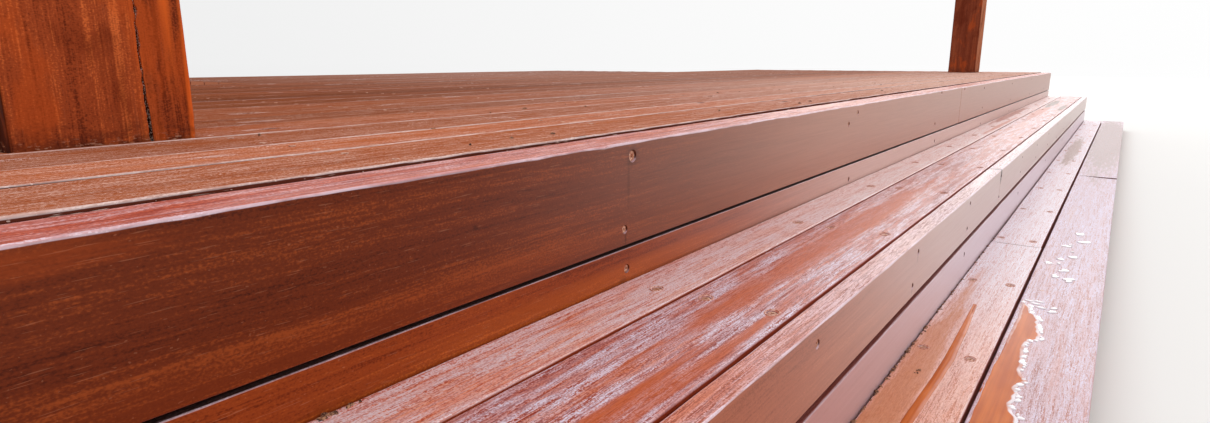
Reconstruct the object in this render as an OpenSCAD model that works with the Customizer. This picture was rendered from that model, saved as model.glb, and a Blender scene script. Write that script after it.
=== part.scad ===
// Low timber deck with two long steps along its front edge.
// Frame: +X along the steps, +Y from the steps towards the back of the deck, +Z up.
// The origin is the centre of the footprint, on the ground.
// Depths are written as distances behind the front face of the deck's edge beam,
// so what lies in front of that face has a negative depth.

/* [Overall] */
// Length of the deck and of both steps
stair_len = 6820; // [5000:10:8400]
// Height from one walking surface to the next
rise = 183; // [150:1:220]
// Number of board rows on the deck
deck_rows = 18; // [10:1:22]

/* [Entry bay] */
// Width of the bay between the two walls beside the entry
entry_w = 3540; // [2000:10:3900]
// Number of board rows in the entry bay, behind those of the deck
entry_rows = 9; // [4:1:14]

/* [Boards] */
// Width of a full board
board_w = 134; // [105:1:165]
// Thickness of the deck and tread boards
board_t = 32; // [25:1:40]
// Gap between neighbouring boards
board_gap = 4; // [3:0.5:7]
// Radius of the eased long edges of a board
edge_r = 3; // [2:0.5:6]
// Gap between two boards that meet end to end
butt_gap = 2; // [1:0.5:4]
// Width of the ripped board in the second row of the deck
ripped_board_w = 105; // [85:1:160]
// Visible width of the rear board of the upper step
upper_rear_w = 86; // [60:1:150]
// Visible width of the rear board of the bottom step
bottom_rear_w = 115; // [80:1:160]
// Height of the deck boards above the top of the edge beam
deck_proud = 4; // [0:1:10]

/* [Edge beam and risers] */
// Height of the deck's edge beam
beam_h = 135; // [110:1:160]
// Thickness of the deck's edge beam
beam_t = 66; // [45:1:80]
// Radius of the worn front arris of the edge beam
beam_r = 5; // [3:0.5:10]
// Shadow gap under the edge beam
beam_shadow_gap = 4; // [2:1:12]
// Height of the upper step's front board
riser_h = 94; // [80:1:112]
// Thickness of the riser boards
riser_t = 32; // [25:1:40]
// Shadow gap under the upper step's front board
riser_shadow_gap = 11; // [4:1:20]
// Clearance between a tread's rear edge and the riser behind it
riser_clear = 2; // [1:0.5:5]

/* [Posts] */
// Side of the square roof posts
post_w = 195; // [140:5:240]
// Height of the posts above the deck
post_height = 2400; // [900:10:2700]
// Distance from the face of the edge beam to the face of the posts
post_setback = 469; // [300:1:900]
// Distance from the end of the deck to the outer side of a post
post_inset = 320; // [200:5:700]
// Gap between a post and the boards notched around it
post_clear = 3; // [2:0.5:6]
// Radius of the worn arrises of the posts
post_r = 4; // [2:0.5:10]

/* [Butt joints] */
// Place of the joint in the edge beam, from the middle of the deck
beam_joint_x = -349; // [-2200:1:2200]
// Place of the joint in the upper step's front board
riser_joint_x = -1208; // [-2200:1:2200]
// Place of the joint in the rear board of the bottom step
bottom_rear_joint_x = -1271; // [-2200:1:2200]
// Place of the joint in the outer board of the bottom step
bottom_joint_x = 157; // [-2200:1:2200]

/* [Framing] */
// Thickness of joists, step bearers, legs and packers
joist_t = 45; // [35:1:50]
// Height of the joists
joist_h = 90; // [70:1:100]
// Greatest spacing of the joists
max_joist_spacing = 450; // [300:10:600]
// Spacing of the step frames, set out from the right end
frame_spacing = 460; // [350:5:500]
// Thickness of the two bearers and of the stumps under them
bearer_t = 70; // [45:5:90]
// Height of the bearers
bearer_h = 90; // [70:5:110]
// Width of a stump along the deck
stump_w = 90; // [70:5:140]
// Greatest spacing of the stumps
max_stump_spacing = 1400; // [900:50:1800]
// Depth of the space behind the edge beam's face that the step frames fill
frame_depth = 110; // [90:5:160]
// Width of the rear legs of the step frames
leg_w = 90; // [45:5:120]
// Thickness of the sleepers that the step frames stand on
sleeper_t = 35; // [25:1:50]
// Width of the sleepers along the deck
sleeper_w = 140; // [90:5:190]
// Height of the step bearers
step_bearer_h = 90; // [70:5:95]
// Thickness of the end stringers and end fascias
end_t = 32; // [25:1:45]
// How far the end fascias reach down over the bearers
fascia_lap = 17; // [5:1:60]
// Setback of sleepers and end stringers from the front of the bottom step
nose = 12; // [5:1:30]

/* [Ledgers] */
// Thickness of the ledgers that bolt to the walls
ledger_t = 45; // [35:1:60]
// Height of the ledgers
ledger_h = 140; // [100:5:170]
// Gap between the boards and the walls
wall_gap = 6; // [3:1:15]
// Diameter of the bolt holes in the ledgers
bolt_hole_d = 14; // [9:0.5:18]

/* [Hidden] */
board_pitch = board_w + board_gap;
half_len = stair_len / 2;

// Heights above the ground
bottom_under_z = sleeper_t;
bottom_z = bottom_under_z + board_t;
upper_z = bottom_z + rise;
upper_under_z = upper_z - board_t;
beam_z = upper_z + rise;
beam_low_z = beam_z - beam_h;
deck_z = beam_z + deck_proud;
deck_under_z = deck_z - board_t;
joist_z = deck_under_z - joist_h;
bearer_z = joist_z - bearer_h;
fascia_z = joist_z - fascia_lap;
step_bearer_z = upper_under_z - step_bearer_h;
post_top_z = deck_z + post_height;

// Depths behind the face of the edge beam
upper_rear_d = -riser_clear - upper_rear_w;
upper_front_d = upper_rear_d - board_pitch;
riser_back_d = upper_front_d - board_gap;
riser_front_d = riser_back_d - riser_t;
bottom_rear_d = riser_front_d - riser_clear - bottom_rear_w;
bottom_outer_d = bottom_rear_d - board_pitch;
frame_front_d = bottom_outer_d + nose;
bearer_d = frame_depth;
row_one_d = beam_t + board_gap;
row_two_d = row_one_d + board_pitch;
row_three_d = row_two_d + ripped_board_w + board_gap;
deck_back_d = row_three_d + (deck_rows - 2) * board_pitch - board_gap;
side_wall_d = deck_back_d + wall_gap;
side_ledger_d = side_wall_d - ledger_t;
wall_d = side_wall_d + entry_rows * board_pitch;
ledger_d = wall_d - ledger_t;
middle_bearer_d = (bearer_d + side_ledger_d) / 2;
entry_bearer_d = (middle_bearer_d + ledger_d) / 2;
post_back_d = post_setback + post_w;

// Half of the footprint's depth puts the origin in its middle
footprint_d = wall_d - bottom_outer_d;
face_y = -footprint_d / 2 - bottom_outer_d;

// Posts, and the joists that are bolted to both sides of each
post_outer_x = half_len - post_inset;
post_inner_x = post_outer_x - post_w;
side_joist_x = post_inner_x - joist_t / 2;
outer_joist_x = post_outer_x + joist_t / 2;
end_joist_x = half_len - end_t - joist_t / 2;

// The entry's floor is this much narrower than its bay, and a joist carries each end of its boards
entry_len = entry_w - 2 * wall_gap;
entry_joist_x = (entry_len - joist_t) / 2;

// Joists between the posts, but for one that would lie in the way of the entry's outer joists
joist_bays = ceil(2 * side_joist_x / max_joist_spacing);
joist_spacing = 2 * side_joist_x / joist_bays;
joist_line = [for (i = [0 : joist_bays]) -side_joist_x + i * joist_spacing];
inner_joists = [for (x = joist_line) if (abs(abs(x) - entry_joist_x) >= joist_t) x];
short_joists = [for (x = inner_joists) if (abs(x) > entry_joist_x) x];
side_joist_xs = concat([-end_joist_x, -outer_joist_x], short_joists, [outer_joist_x, end_joist_x]);
long_joists = [for (x = inner_joists) if (abs(x) < entry_joist_x) x];
entry_joist_xs = concat([-entry_joist_x], long_joists, [entry_joist_x]);

// Wall bolts, in the middle of every second bay between joists, and behind each post
bolt_line = [for (bay = [1 : 2 : joist_bays - 2]) joist_line[bay] + joist_spacing / 2];
entry_bolt_xs = [for (x = bolt_line) if (abs(x) < entry_joist_x - joist_t) x];
side_bolt_xs = [for (x = bolt_line) if (x > entry_w / 2 + joist_t) x];
post_bolt_x = (post_outer_x + post_inner_x) / 2;

// Step frames between the two end stringers, the last clear of the left one
stringer_x = half_len - end_t / 2;
frame_count = floor((2 * stringer_x - sleeper_w) / frame_spacing);
frame_xs = [for (i = [1 : frame_count]) stringer_x - i * frame_spacing];

// Stumps, from one end of a bearer to the other
bearer_len = stair_len - 2 * end_t;
stump_span = bearer_len - 2 * stump_w;
stump_bays = ceil(stump_span / max_stump_spacing);
stump_xs = [for (i = [0 : stump_bays]) -stump_span / 2 + i * stump_span / stump_bays];
entry_stump_x = (entry_len - stump_w) / 2;
middle_stumps = [for (x = stump_xs) if (abs(x) < entry_stump_x - stump_w) x];
entry_stump_xs = concat([-entry_stump_x], middle_stumps, [entry_stump_x]);

// Deck boards meet over a joist, counted back from the far side, at another joist in each row
JOINT_STAGGER = [3, 0, 4, 1, 2];
function row_name(row) = str("deck_board_", row < 10 ? "0" : "", row);
function row_d(row) = row == 1 ? row_one_d : row == 2 ? row_two_d : row_three_d + (row - 3) * board_pitch;
function row_w(row) = row == 2 ? ripped_board_w : board_w;
function row_joint_x(row) = inner_joists[len(inner_joists) - 3 - JOINT_STAGGER[row % len(JOINT_STAGGER)]];

FRAME_NODES = [
    "joists", "front_bearer", "middle_bearer", "entry_bearer", "stumps", "wall_ledger", "side_ledger_left",
    "side_ledger_right", "end_fascia_left", "end_fascia_right",
    "step_sleepers", "step_legs", "step_bearers", "beam_packers", "end_stringer_left", "end_stringer_right"
];
STEP_NODES = [
    "deck_edge_beam", "deck_kick_board", "upper_tread_rear_board", "upper_tread_front_board",
    "upper_riser_board", "lower_kick_board", "bottom_tread_rear_board", "bottom_tread_outer_board"
];
ROW_NODES = [for (row = [1 : deck_rows]) row_name(row)];

// Rectangle with four rounded corners, its low corner at the origin
module eased_rect(w, h, r) {
    translate([r, 0]) square([w - 2 * r, h]);
    translate([0, r]) square([w, h - 2 * r]);
    for (cx = [r, w - r], cy = [r, h - r])
        translate([cx, cy]) circle(r, $fn = 32);
}

// Section of a board: eased along its two upper edges
module board_section(w, t, r) {
    square([w, t - r]);
    translate([r, 0]) square([w - 2 * r, t]);
    for (cx = [r, w - r])
        translate([cx, t - r]) circle(r, $fn = 32);
}

// Section of the edge beam: a worn front arris and eased other edges
module beam_section() {
    translate([edge_r, 0]) square([beam_t - edge_r - beam_r, beam_h]);
    translate([0, edge_r]) square([beam_t, beam_h - edge_r - beam_r]);
    for (cx = [edge_r, beam_t - edge_r])
        translate([cx, edge_r]) circle(edge_r, $fn = 32);
    for (cx = [beam_r, beam_t - beam_r])
        translate([cx, beam_h - beam_r]) circle(beam_r, $fn = 32);
}

// Places a section drawn as (depth, height) and runs it along X
module run_x(x0, x1, d, z) {
    translate([x0, face_y + d, z])
        rotate([90, 0, 90])
            linear_extrude(height = x1 - x0) children();
}

// The same along the whole length, cut in two by a butt joint
module run_jointed(joint_x, d, z) {
    run_x(-half_len, joint_x - butt_gap / 2, d, z) children();
    run_x(joint_x + butt_gap / 2, half_len, d, z) children();
}

// Square-cut timber centred on x, from depth d0 to d1 and from height z0 to z1
module timber(x, w, d0, d1, z0, z1) {
    translate([x - w / 2, face_y + d0, z0]) cube([w, d1 - d0, z1 - z0]);
}

// Space that the boards leave free around both posts
module post_clearance() {
    for (side = [-1, 1])
        timber(side * (post_outer_x + post_inner_x) / 2, post_w + 2 * post_clear,
            post_setback - post_clear, post_back_d + post_clear, 0, post_top_z);
}

// Deck surface
module deck_board(row) {
    color("sienna")
        difference() {
            run_jointed(row_joint_x(row), row_d(row), deck_under_z)
                board_section(row_w(row), board_t, edge_r);
            post_clearance();
        }
}

module entry_boards() {
    color("sienna")
        for (row = [deck_rows + 1 : deck_rows + entry_rows])
            run_x(-entry_len / 2, entry_len / 2, row_d(row), deck_under_z)
                board_section(board_w, board_t, edge_r);
}

// Front edge of the deck
module deck_edge_beam() {
    color("saddlebrown") run_jointed(beam_joint_x, 0, beam_low_z) beam_section();
}
module deck_kick_board() {
    color("saddlebrown")
        run_x(-half_len, half_len, 0, upper_under_z)
            board_section(riser_t, beam_low_z - beam_shadow_gap - upper_under_z, edge_r);
}

// Upper step
module upper_tread_rear_board() {
    color("indianred")
        run_x(-half_len, half_len, upper_rear_d, upper_under_z)
            board_section(upper_rear_w, board_t, edge_r);
}
module upper_tread_front_board() {
    color("indianred")
        run_x(-half_len, half_len, upper_front_d, upper_under_z)
            board_section(board_w, board_t, edge_r);
}
module upper_riser_board() {
    color("brown")
        run_jointed(riser_joint_x, riser_front_d, upper_z - riser_h) eased_rect(riser_t, riser_h, edge_r);
}
module lower_kick_board() {
    color("brown")
        run_x(-half_len, half_len, riser_front_d, bottom_under_z)
            board_section(riser_t, upper_z - riser_h - riser_shadow_gap - bottom_under_z, edge_r);
}

// Bottom step
module bottom_tread_rear_board() {
    color("rosybrown")
        run_jointed(bottom_rear_joint_x, bottom_rear_d, bottom_under_z)
            board_section(bottom_rear_w, board_t, edge_r);
}
module bottom_tread_outer_board() {
    color("rosybrown")
        run_jointed(bottom_joint_x, bottom_outer_d, bottom_under_z)
            board_section(board_w, board_t, edge_r);
}

// Posts
module post(side) {
    color("chocolate")
        translate([side > 0 ? post_inner_x : -post_outer_x, face_y + post_setback, 0])
            linear_extrude(height = post_top_z) eased_rect(post_w, post_w, post_r);
}

// Deck framing
module joists() {
    color("peru") {
        for (x = side_joist_xs)
            timber(x, joist_t, beam_t, side_ledger_d, joist_z, deck_under_z);
        for (x = entry_joist_xs)
            timber(x, joist_t, beam_t, ledger_d, joist_z, deck_under_z);
    }
}
module bearer(len, d) {
    color("burlywood") timber(0, len, d, d + bearer_t, bearer_z, joist_z);
}
module stumps() {
    color("tan") {
        for (x = stump_xs, d = [bearer_d, middle_bearer_d])
            timber(x, stump_w, d, d + bearer_t, 0, bearer_z);
        for (x = entry_stump_xs)
            timber(x, stump_w, entry_bearer_d, entry_bearer_d + bearer_t, 0, bearer_z);
    }
}

// Ledger from x0 to x1, its back at depth d, drilled for the bolts at xs
module ledger(x0, x1, d, xs) {
    color("burlywood")
        difference() {
            timber((x0 + x1) / 2, x1 - x0, d - ledger_t, d, deck_under_z - ledger_h, deck_under_z);
            for (x = xs)
                translate([x, face_y + d - ledger_t - 1, deck_under_z - ledger_h / 2])
                    rotate([-90, 0, 0])
                        cylinder(d = bolt_hole_d, h = ledger_t + 2, $fn = 48);
        }
}
module side_ledger(side) {
    mirror([side > 0 ? 0 : 1, 0, 0])
        ledger(entry_w / 2, bearer_len / 2, side_wall_d, concat(side_bolt_xs, [post_bolt_x]));
}
module end_fascia(side) {
    color("saddlebrown")
        timber(side * (half_len - end_t / 2), end_t, beam_t, side_wall_d, fascia_z, deck_under_z);
}

// Step framing
module step_sleepers() {
    color("tan")
        for (x = frame_xs)
            timber(x, sleeper_w, frame_front_d, frame_depth, 0, sleeper_t);
}
module step_legs() {
    color("peru")
        for (x = frame_xs) {
            timber(x, joist_t, riser_back_d, riser_back_d + joist_t, sleeper_t, step_bearer_z);
            timber(x, joist_t, frame_depth - leg_w, frame_depth, sleeper_t, step_bearer_z);
        }
}
module step_bearers() {
    color("burlywood")
        for (x = frame_xs)
            timber(x, joist_t, riser_back_d, frame_depth, step_bearer_z, upper_under_z);
}
module beam_packers() {
    color("peru")
        for (x = frame_xs)
            run_x(x - joist_t / 2, x + joist_t / 2, 0, 0) packer_outline();
}

// Outline of a packer: it carries the beam and stays under the joists behind it
module packer_outline() {
    square_between(riser_t, beam_t, beam_low_z, upper_under_z);
    square_between(beam_t, frame_depth, min(beam_low_z, joist_z), upper_under_z);
}

// Outline of an end stringer, cut to the steps, from the ground up
module stringer_outline() {
    square_between(frame_front_d, riser_back_d, bottom_under_z);
    square_between(riser_back_d, riser_t, upper_under_z);
    square_between(riser_t, beam_t, beam_low_z);
    square_between(beam_t, bearer_d + bearer_t, fascia_z);
}
module square_between(d0, d1, top, low = 0) {
    translate([d0, low]) square([d1 - d0, top - low]);
}
module end_stringer(side) {
    color("saddlebrown")
        run_x(side > 0 ? half_len - end_t : -half_len, side > 0 ? half_len : end_t - half_len, 0, 0)
            stringer_outline();
}

joists();
bearer(bearer_len, bearer_d);  // front_bearer
bearer(bearer_len, middle_bearer_d);  // middle_bearer
bearer(entry_len, entry_bearer_d);  // entry_bearer
stumps();
ledger(-entry_len / 2, entry_len / 2, wall_d, entry_bolt_xs);  // wall_ledger
side_ledger(-1);  // side_ledger_left
side_ledger(1);  // side_ledger_right
end_fascia(-1);  // end_fascia_left
end_fascia(1);  // end_fascia_right
step_sleepers();
step_legs();
step_bearers();
beam_packers();
end_stringer(-1);  // end_stringer_left
end_stringer(1);  // end_stringer_right
deck_edge_beam();
deck_kick_board();
upper_tread_rear_board();
upper_tread_front_board();
upper_riser_board();
lower_kick_board();
bottom_tread_rear_board();
bottom_tread_outer_board();
post(-1);  // post_left
post(1);  // post_right
for (row = [1 : deck_rows])
    deck_board(row);
entry_boards();
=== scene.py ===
"""Looks of the wooden deck stairs: a low hardwood deck with two long steps and two posts."""

import math
from collections import namedtuple

import bpy
import numpy as np
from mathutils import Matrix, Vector


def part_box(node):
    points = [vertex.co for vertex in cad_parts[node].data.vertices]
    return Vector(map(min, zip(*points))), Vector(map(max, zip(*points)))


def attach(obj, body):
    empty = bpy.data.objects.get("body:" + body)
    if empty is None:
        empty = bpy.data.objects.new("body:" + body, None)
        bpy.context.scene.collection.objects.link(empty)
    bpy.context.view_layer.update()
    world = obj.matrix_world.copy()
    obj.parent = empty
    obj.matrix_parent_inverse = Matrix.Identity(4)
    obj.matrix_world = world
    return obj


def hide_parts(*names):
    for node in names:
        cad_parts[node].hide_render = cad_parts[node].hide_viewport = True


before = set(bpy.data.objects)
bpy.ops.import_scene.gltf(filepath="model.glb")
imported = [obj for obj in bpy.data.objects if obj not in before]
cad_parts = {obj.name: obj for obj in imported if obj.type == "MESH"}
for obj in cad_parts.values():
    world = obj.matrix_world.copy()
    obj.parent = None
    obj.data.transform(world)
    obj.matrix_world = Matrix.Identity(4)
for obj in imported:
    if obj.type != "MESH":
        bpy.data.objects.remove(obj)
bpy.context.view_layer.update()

# Photo and camera, measured from the beam's front face, its top and the left end of the deck
PHOTO_W = 1210
FOCAL_PX = 700
SENSOR_MM = 36
YAW = math.radians(36.28)
PITCH = math.radians(12.24)
CAMERA_FROM_LEFT_END = 0.092
CAMERA_IN_FRONT_OF_BEAM = 0.501
CAMERA_ABOVE_BEAM = 0.102

# Places of the timbers, in metres
BEAM_LOW, BEAM_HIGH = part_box("deck_edge_beam")
FACE_Y = BEAM_LOW.y
POST_FAR_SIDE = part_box("post_left")[1].x
DECK_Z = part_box("deck_board_01")[1].z
BOTTOM_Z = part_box("bottom_tread_outer_board")[1].z
DECK_ROWS = 18
ENTRY_ROWS = 9

# Step frames and joists that the screws go into, set out as the framing is
FRAME_SPACING = 0.46
FRAME_XS = [sum(c.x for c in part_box("end_stringer_right")) / 2 - i * FRAME_SPACING for i in range(1, 15)]
JOIST_T = 0.045
JOIST_BAYS = 13
SIDE_JOIST_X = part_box("post_right")[0].x - JOIST_T / 2
JOIST_XS = [SIDE_JOIST_X * (2 * i / JOIST_BAYS - 1) for i in range(JOIST_BAYS + 1)]

# Butt joints between the two lengths of a timber
JOINTS = {
    "deck_edge_beam": -0.349,
    "upper_riser_board": -1.208,
    "bottom_tread_rear_board": -1.271,
    "bottom_tread_outer_board": 0.157,
}
JOINT_STAGGER = (3, 0, 4, 1, 2)
for row in range(1, DECK_ROWS + 1):
    JOINTS[f"deck_board_{row:02d}"] = JOIST_XS[JOIST_BAYS - 2 - JOINT_STAGGER[row % len(JOINT_STAGGER)]]
BUTT_GAP = 0.003


class Shader:
    """A short way to build a node tree."""

    def __init__(self, tree):
        self.tree = tree
        self.tree.nodes.clear()

    def add(self, kind, inputs=None, output=0, **settings):
        """An output of a new node, by number or name, or all of them for None."""
        node = self.tree.nodes.new("ShaderNode" + kind)
        for key, value in settings.items():
            setattr(node, key, value)
        for key, value in (inputs or {}).items():
            if isinstance(value, bpy.types.NodeSocket):
                self.tree.links.new(value, node.inputs[key])
            else:
                node.inputs[key].default_value = value
        return node.outputs if output is None else node.outputs[output]

    def math(self, operation, a, b=0.0):
        return self.add("Math", {0: a, 1: b}, operation=operation)

    def chain(self, operation, values):
        result = values[0]
        for value in values[1:]:
            result = self.math(operation, result, value)
        return result

    def plus(self, *values):
        return self.chain("ADD", values)

    def times(self, *values):
        return self.chain("MULTIPLY", values)

    def most(self, *values):
        return self.chain("MAXIMUM", values)

    def centred(self, value):
        """Noise from 0 to 1, moved to lie round 0."""
        return self.math("SUBTRACT", value, 0.5)

    def place(self):
        return self.add("TexCoord", output="Object")

    def normal(self):
        return self.add("NewGeometry", output="Normal")

    def vector(self, parts):
        """A vector from its parts by number, with 0 for those not given."""
        return self.add("CombineXYZ", parts)

    def scaled(self, vector, x, y, z):
        return self.add("VectorMath", {0: vector, 1: (x, y, z)}, operation="MULTIPLY")

    def moved(self, vector, offset):
        return self.add("VectorMath", {0: vector, 1: offset}, operation="ADD")

    def split(self, vector):
        return self.add("SeparateXYZ", {0: vector}, None)

    def mix(self, factor, a, b):
        """The colour a where factor is 0 and b where it is 1."""
        return self.add("Mix", {0: factor, 6: a, 7: b}, 2, data_type="RGBA")

    def blend(self, factor, a, b):
        """The number a where factor is 0 and b where it is 1."""
        return self.add("Mix", {0: factor, 2: a, 3: b}, data_type="FLOAT")

    def noise(self, place, counts, detail=2.0, rough=0.5, warp=0.0):
        """Noise from 0 to 1 with about that many spots in a metre along x, y and z."""
        place = self.scaled(place, *counts)
        inputs = {"Vector": place, "Scale": 1.0, "Detail": detail, "Roughness": rough, "Distortion": warp}
        return self.add("TexNoise", inputs, "Fac")

    def step(self, value, low, high):
        """0 below low, 1 above high, smooth between; with high under low it falls instead."""
        inputs = {"Value": value, "From Min": low, "From Max": high}
        return self.add("MapRange", inputs, interpolation_type="SMOOTHSTEP")

    def attribute(self, name):
        return self.add("Attribute", output="Fac", attribute_name=name)

    def bump(self, height, strength, distance):
        return self.add("Bump", {"Height": height, "Strength": strength, "Distance": distance})

    def principled(self, inputs):
        return self.add("BsdfPrincipled", inputs)

    def surface(self, shader, kind="OutputMaterial"):
        self.add(kind, {"Surface": shader}, None)


def new_material(name):
    """A material, and the shader that fills it."""
    material = bpy.data.materials.new(name)
    material.use_nodes = True
    return material, Shader(material.node_tree)


def rgb(red, green, blue):
    """A colour as it shows on a screen, 0 to 255, as the linear values that shaders take."""
    linear = [((v / 255 + 0.055) / 1.055) ** 2.4 if v > 10 else v / 255 / 12.92 for v in (red, green, blue)]
    return (*linear, 1.0)


def shades(*colours):
    """Dark, middle and light shade of a wood."""
    return [rgb(*colour) for colour in colours]


# Looks of the timbers:
# face, top    shades of upright and of upward sides, and vary says how strongly they change
# painted_light_drift  painted sheen faces and tops turn to along the steps: both colours, how far, and from
# where to where
# wet          colour of wood that water has soaked, and wetness where on the noise wood stays oiled
# pale         colour of dried raised fibres, partly a painted glint of light on them, and pale_near the same at the left end
# dry, cover, sparse, haze_and_sheen, frost    how much of a top those fibres take and how patchy they are; the haze is partly a painted sheen
# fibre, contrast    length and width of a fibre in metres, and how dark the grain between them is
# fleck, flecks    colour of thin scratches and how many show, and knots says the same of knots
# arris, ends  how pale the arrises are from wear and a painted highlight, and the colour of the end grain
# coat         how strong the oil's gloss is seen from aside and at a glance, and its share on the top
BEAM = dict(
    face=shades((78, 30, 16), (110, 46, 22), (154, 72, 32)), vary=0.75, wet=rgb(206, 88, 46),
    top=shades((158, 48, 26), (204, 84, 42), (232, 120, 64)),
    pale=rgb(244, 222, 234), fleck=rgb(206, 140, 104), flecks=0.22, knots=0.0,
    dry=0.95, cover=0.9, sparse=0.05, haze_and_sheen=0.03, contrast=0.9, fibre=(0.034, 0.0024),
    arris=0.9, wet_rough=0.36, dry_rough=0.5, shine=0.08, sheen=0.05, bump=0.5,
    coat=(0.42, 0.38, 0.12), wetness=0.32, frost=0.85,
    painted_light_drift=(rgb(186, 130, 108), rgb(226, 140, 112), 0.9, -2.9, -1.7),
    pale_near=rgb(242, 210, 218), ends=rgb(84, 40, 30),
)
RISER = dict(
    BEAM, face=shades((138, 70, 46), (174, 98, 70), (204, 124, 88)), flecks=0.28,
    fibre=(0.024, 0.0011), sparse=0.02, cover=0.95, frost=0.9, wetness=0.3, haze_and_sheen=0.15,
    top=shades((156, 64, 42), (208, 104, 64), (230, 132, 84)),
    coat=(0.1, 0.48, 1.0), painted_light_drift=(rgb(216, 192, 184), rgb(246, 220, 220), 0.9, -3.0, -1.8),
)
# The kick board's dark top shades are painted shade in the narrow gap under the board above it
KICK = dict(
    RISER, face=shades((112, 42, 18), (156, 68, 28), (200, 100, 42)), arris=0.45,
    top=shades((50, 22, 15), (70, 32, 22), (90, 44, 30)), dry=0.1, coat=(0.3, 0.35, 0.2),
    painted_light_drift=(rgb(220, 184, 174), rgb(90, 50, 40), 0.9, -2.7, -1.5), frost=0.0, haze_and_sheen=0.0,
)
# Its tops, darker than its faces, are painted shade in the gap under the riser above it
LOWER_KICK = dict(
    KICK, face=shades((162, 102, 94), (190, 130, 124), (206, 148, 140)), vary=0.6,
    top=shades((110, 48, 40), (150, 74, 62), (176, 96, 84)), coat=(0.35, 0.6, 0.2),
    painted_light_drift=(rgb(226, 208, 216), rgb(150, 90, 84), 0.9, -3.0, -1.8),
)
SOAKED = rgb(176, 80, 50)
TREAD = dict(
    BEAM, face=shades((140, 48, 24), (176, 70, 36), (200, 92, 48)), vary=1.0,
    top=shades((154, 50, 30), (204, 94, 50), (232, 128, 70)), pale=rgb(248, 230, 242), flecks=0.2,
    dry=1.0, cover=0.97, sparse=0.0, haze_and_sheen=0.22, contrast=0.85, fibre=(0.015, 0.001),
    wet=rgb(206, 98, 48), frost=0.8, arris=0.4, pale_near=rgb(236, 224, 242),
    coat=(0.25, 0.4, 1.0), bump=1.0, wetness=0.24,
    painted_light_drift=(SOAKED, rgb(226, 150, 126), 0.6, -2.0, 2.0),
)
TREAD_REAR = dict(
    TREAD, top=shades((190, 72, 44), (242, 132, 86), (252, 164, 110)), pale=rgb(254, 238, 240),
    haze_and_sheen=0.42, contrast=0.7, pale_near=rgb(246, 220, 226), fibre=(0.012, 0.001),
    wetness=0.16, painted_light_drift=(SOAKED, rgb(255, 224, 220), 0.95, -3.0, -1.7),
)
BOTTOM = dict(
    TREAD, top=shades((164, 88, 78), (206, 136, 122), (222, 150, 130)), pale=rgb(228, 218, 240),
    wet=rgb(170, 86, 44), frost=0.3, pale_near=rgb(224, 208, 226),
    haze_and_sheen=0.55, fibre=(0.013, 0.0012), contrast=0.5, coat=(0.35, 0.1, 1.0), wetness=0.2,
    painted_light_drift=(SOAKED, rgb(214, 184, 192), 0.8, -2.4, -0.6),
)
BOTTOM_REAR = dict(
    BOTTOM, top=shades((186, 96, 70), (232, 148, 116), (246, 168, 130)), pale=rgb(250, 244, 255),
    pale_near=rgb(250, 196, 180), painted_light_drift=(SOAKED, rgb(240, 222, 232), 0.9, -2.4, -1.1),
)
DECK = dict(
    BEAM, face=shades((70, 30, 20), (102, 50, 37), (128, 68, 50)), vary=0.55,
    top=shades((140, 68, 40), (180, 98, 60), (208, 126, 84)), pale=rgb(252, 232, 228),
    fleck=rgb(246, 218, 204), knots=1.0, dry=0.9, cover=0.5, sparse=0.02, haze_and_sheen=0.05,
    contrast=0.25, wet_rough=0.45, dry_rough=0.55, shine=0.0, sheen=0.0,
    coat=(0.0, 0.0, 0.0), painted_light_drift=(rgb(102, 50, 37), rgb(234, 192, 176), 0.75, -2.7, 0.2),
    wetness=0.3, fibre=(0.06, 0.0016), frost=0.0, pale_near=rgb(250, 220, 208),
    ends=rgb(200, 124, 92),
)
# Painted shade: the darker shades that deck boards turn to towards the back
PAINTED_DECK_SHADE = shades((104, 48, 24), (132, 66, 34), (156, 84, 46))
BOARD_VARIETY = 0.16
POST = dict(
    BEAM, face=shades((106, 44, 25), (162, 74, 40), (218, 112, 58)), vary=0.9,
    top=shades((130, 70, 44), (160, 96, 66), (180, 116, 82)), flecks=0.1, cover=0.3, arris=0.3,
    shine=0.0, sheen=0.0, coat=(0.12, 0.0, 0.0), painted_light_drift=None,
)
# The far post's darker shades are painted shade on the side of it that shows most
FAR_POST = dict(POST, face=shades((92, 40, 28), (128, 62, 42), (160, 88, 58)), vary=0.8)
GREY_WOOD = shades((78, 60, 46), (112, 88, 66), (138, 110, 82))
FRAMING = dict(
    BEAM, face=GREY_WOOD, top=GREY_WOOD, pale=rgb(160, 146, 128), fleck=rgb(150, 128, 100),
    dry=0.6, cover=0.4, arris=0.2, wet_rough=0.7, dry_rough=0.85, sheen=0.0,
    coat=(0.0, 0.0, 0.0), bump=0.6, painted_light_drift=None,
)


def deck_look(row):
    """Deck boards get darker towards the back as painted shade, and less weathered, and each has a tone of
    its own.
    """
    share = min(max(row - 2, 0) / 7, 1)
    tone = 1 + BOARD_VARIETY * ((row * 7) % 5 - 2) / 2
    top = [(*(tone * (near * (1 - share) + back * share) for near, back in zip(front[:3], behind[:3])), 1.0)
           for front, behind in zip(DECK["top"], PAINTED_DECK_SHADE)]
    upright, flat, _, start, stop = DECK["painted_light_drift"]
    return dict(DECK, top=top, cover=DECK["cover"] * (1 - 0.75 * share), flecks=0.9 - 0.7 * share,
                arris=0.8 - 0.45 * share, painted_light_drift=(upright, flat, 0.75 - 0.5 * share, start, stop))


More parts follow.
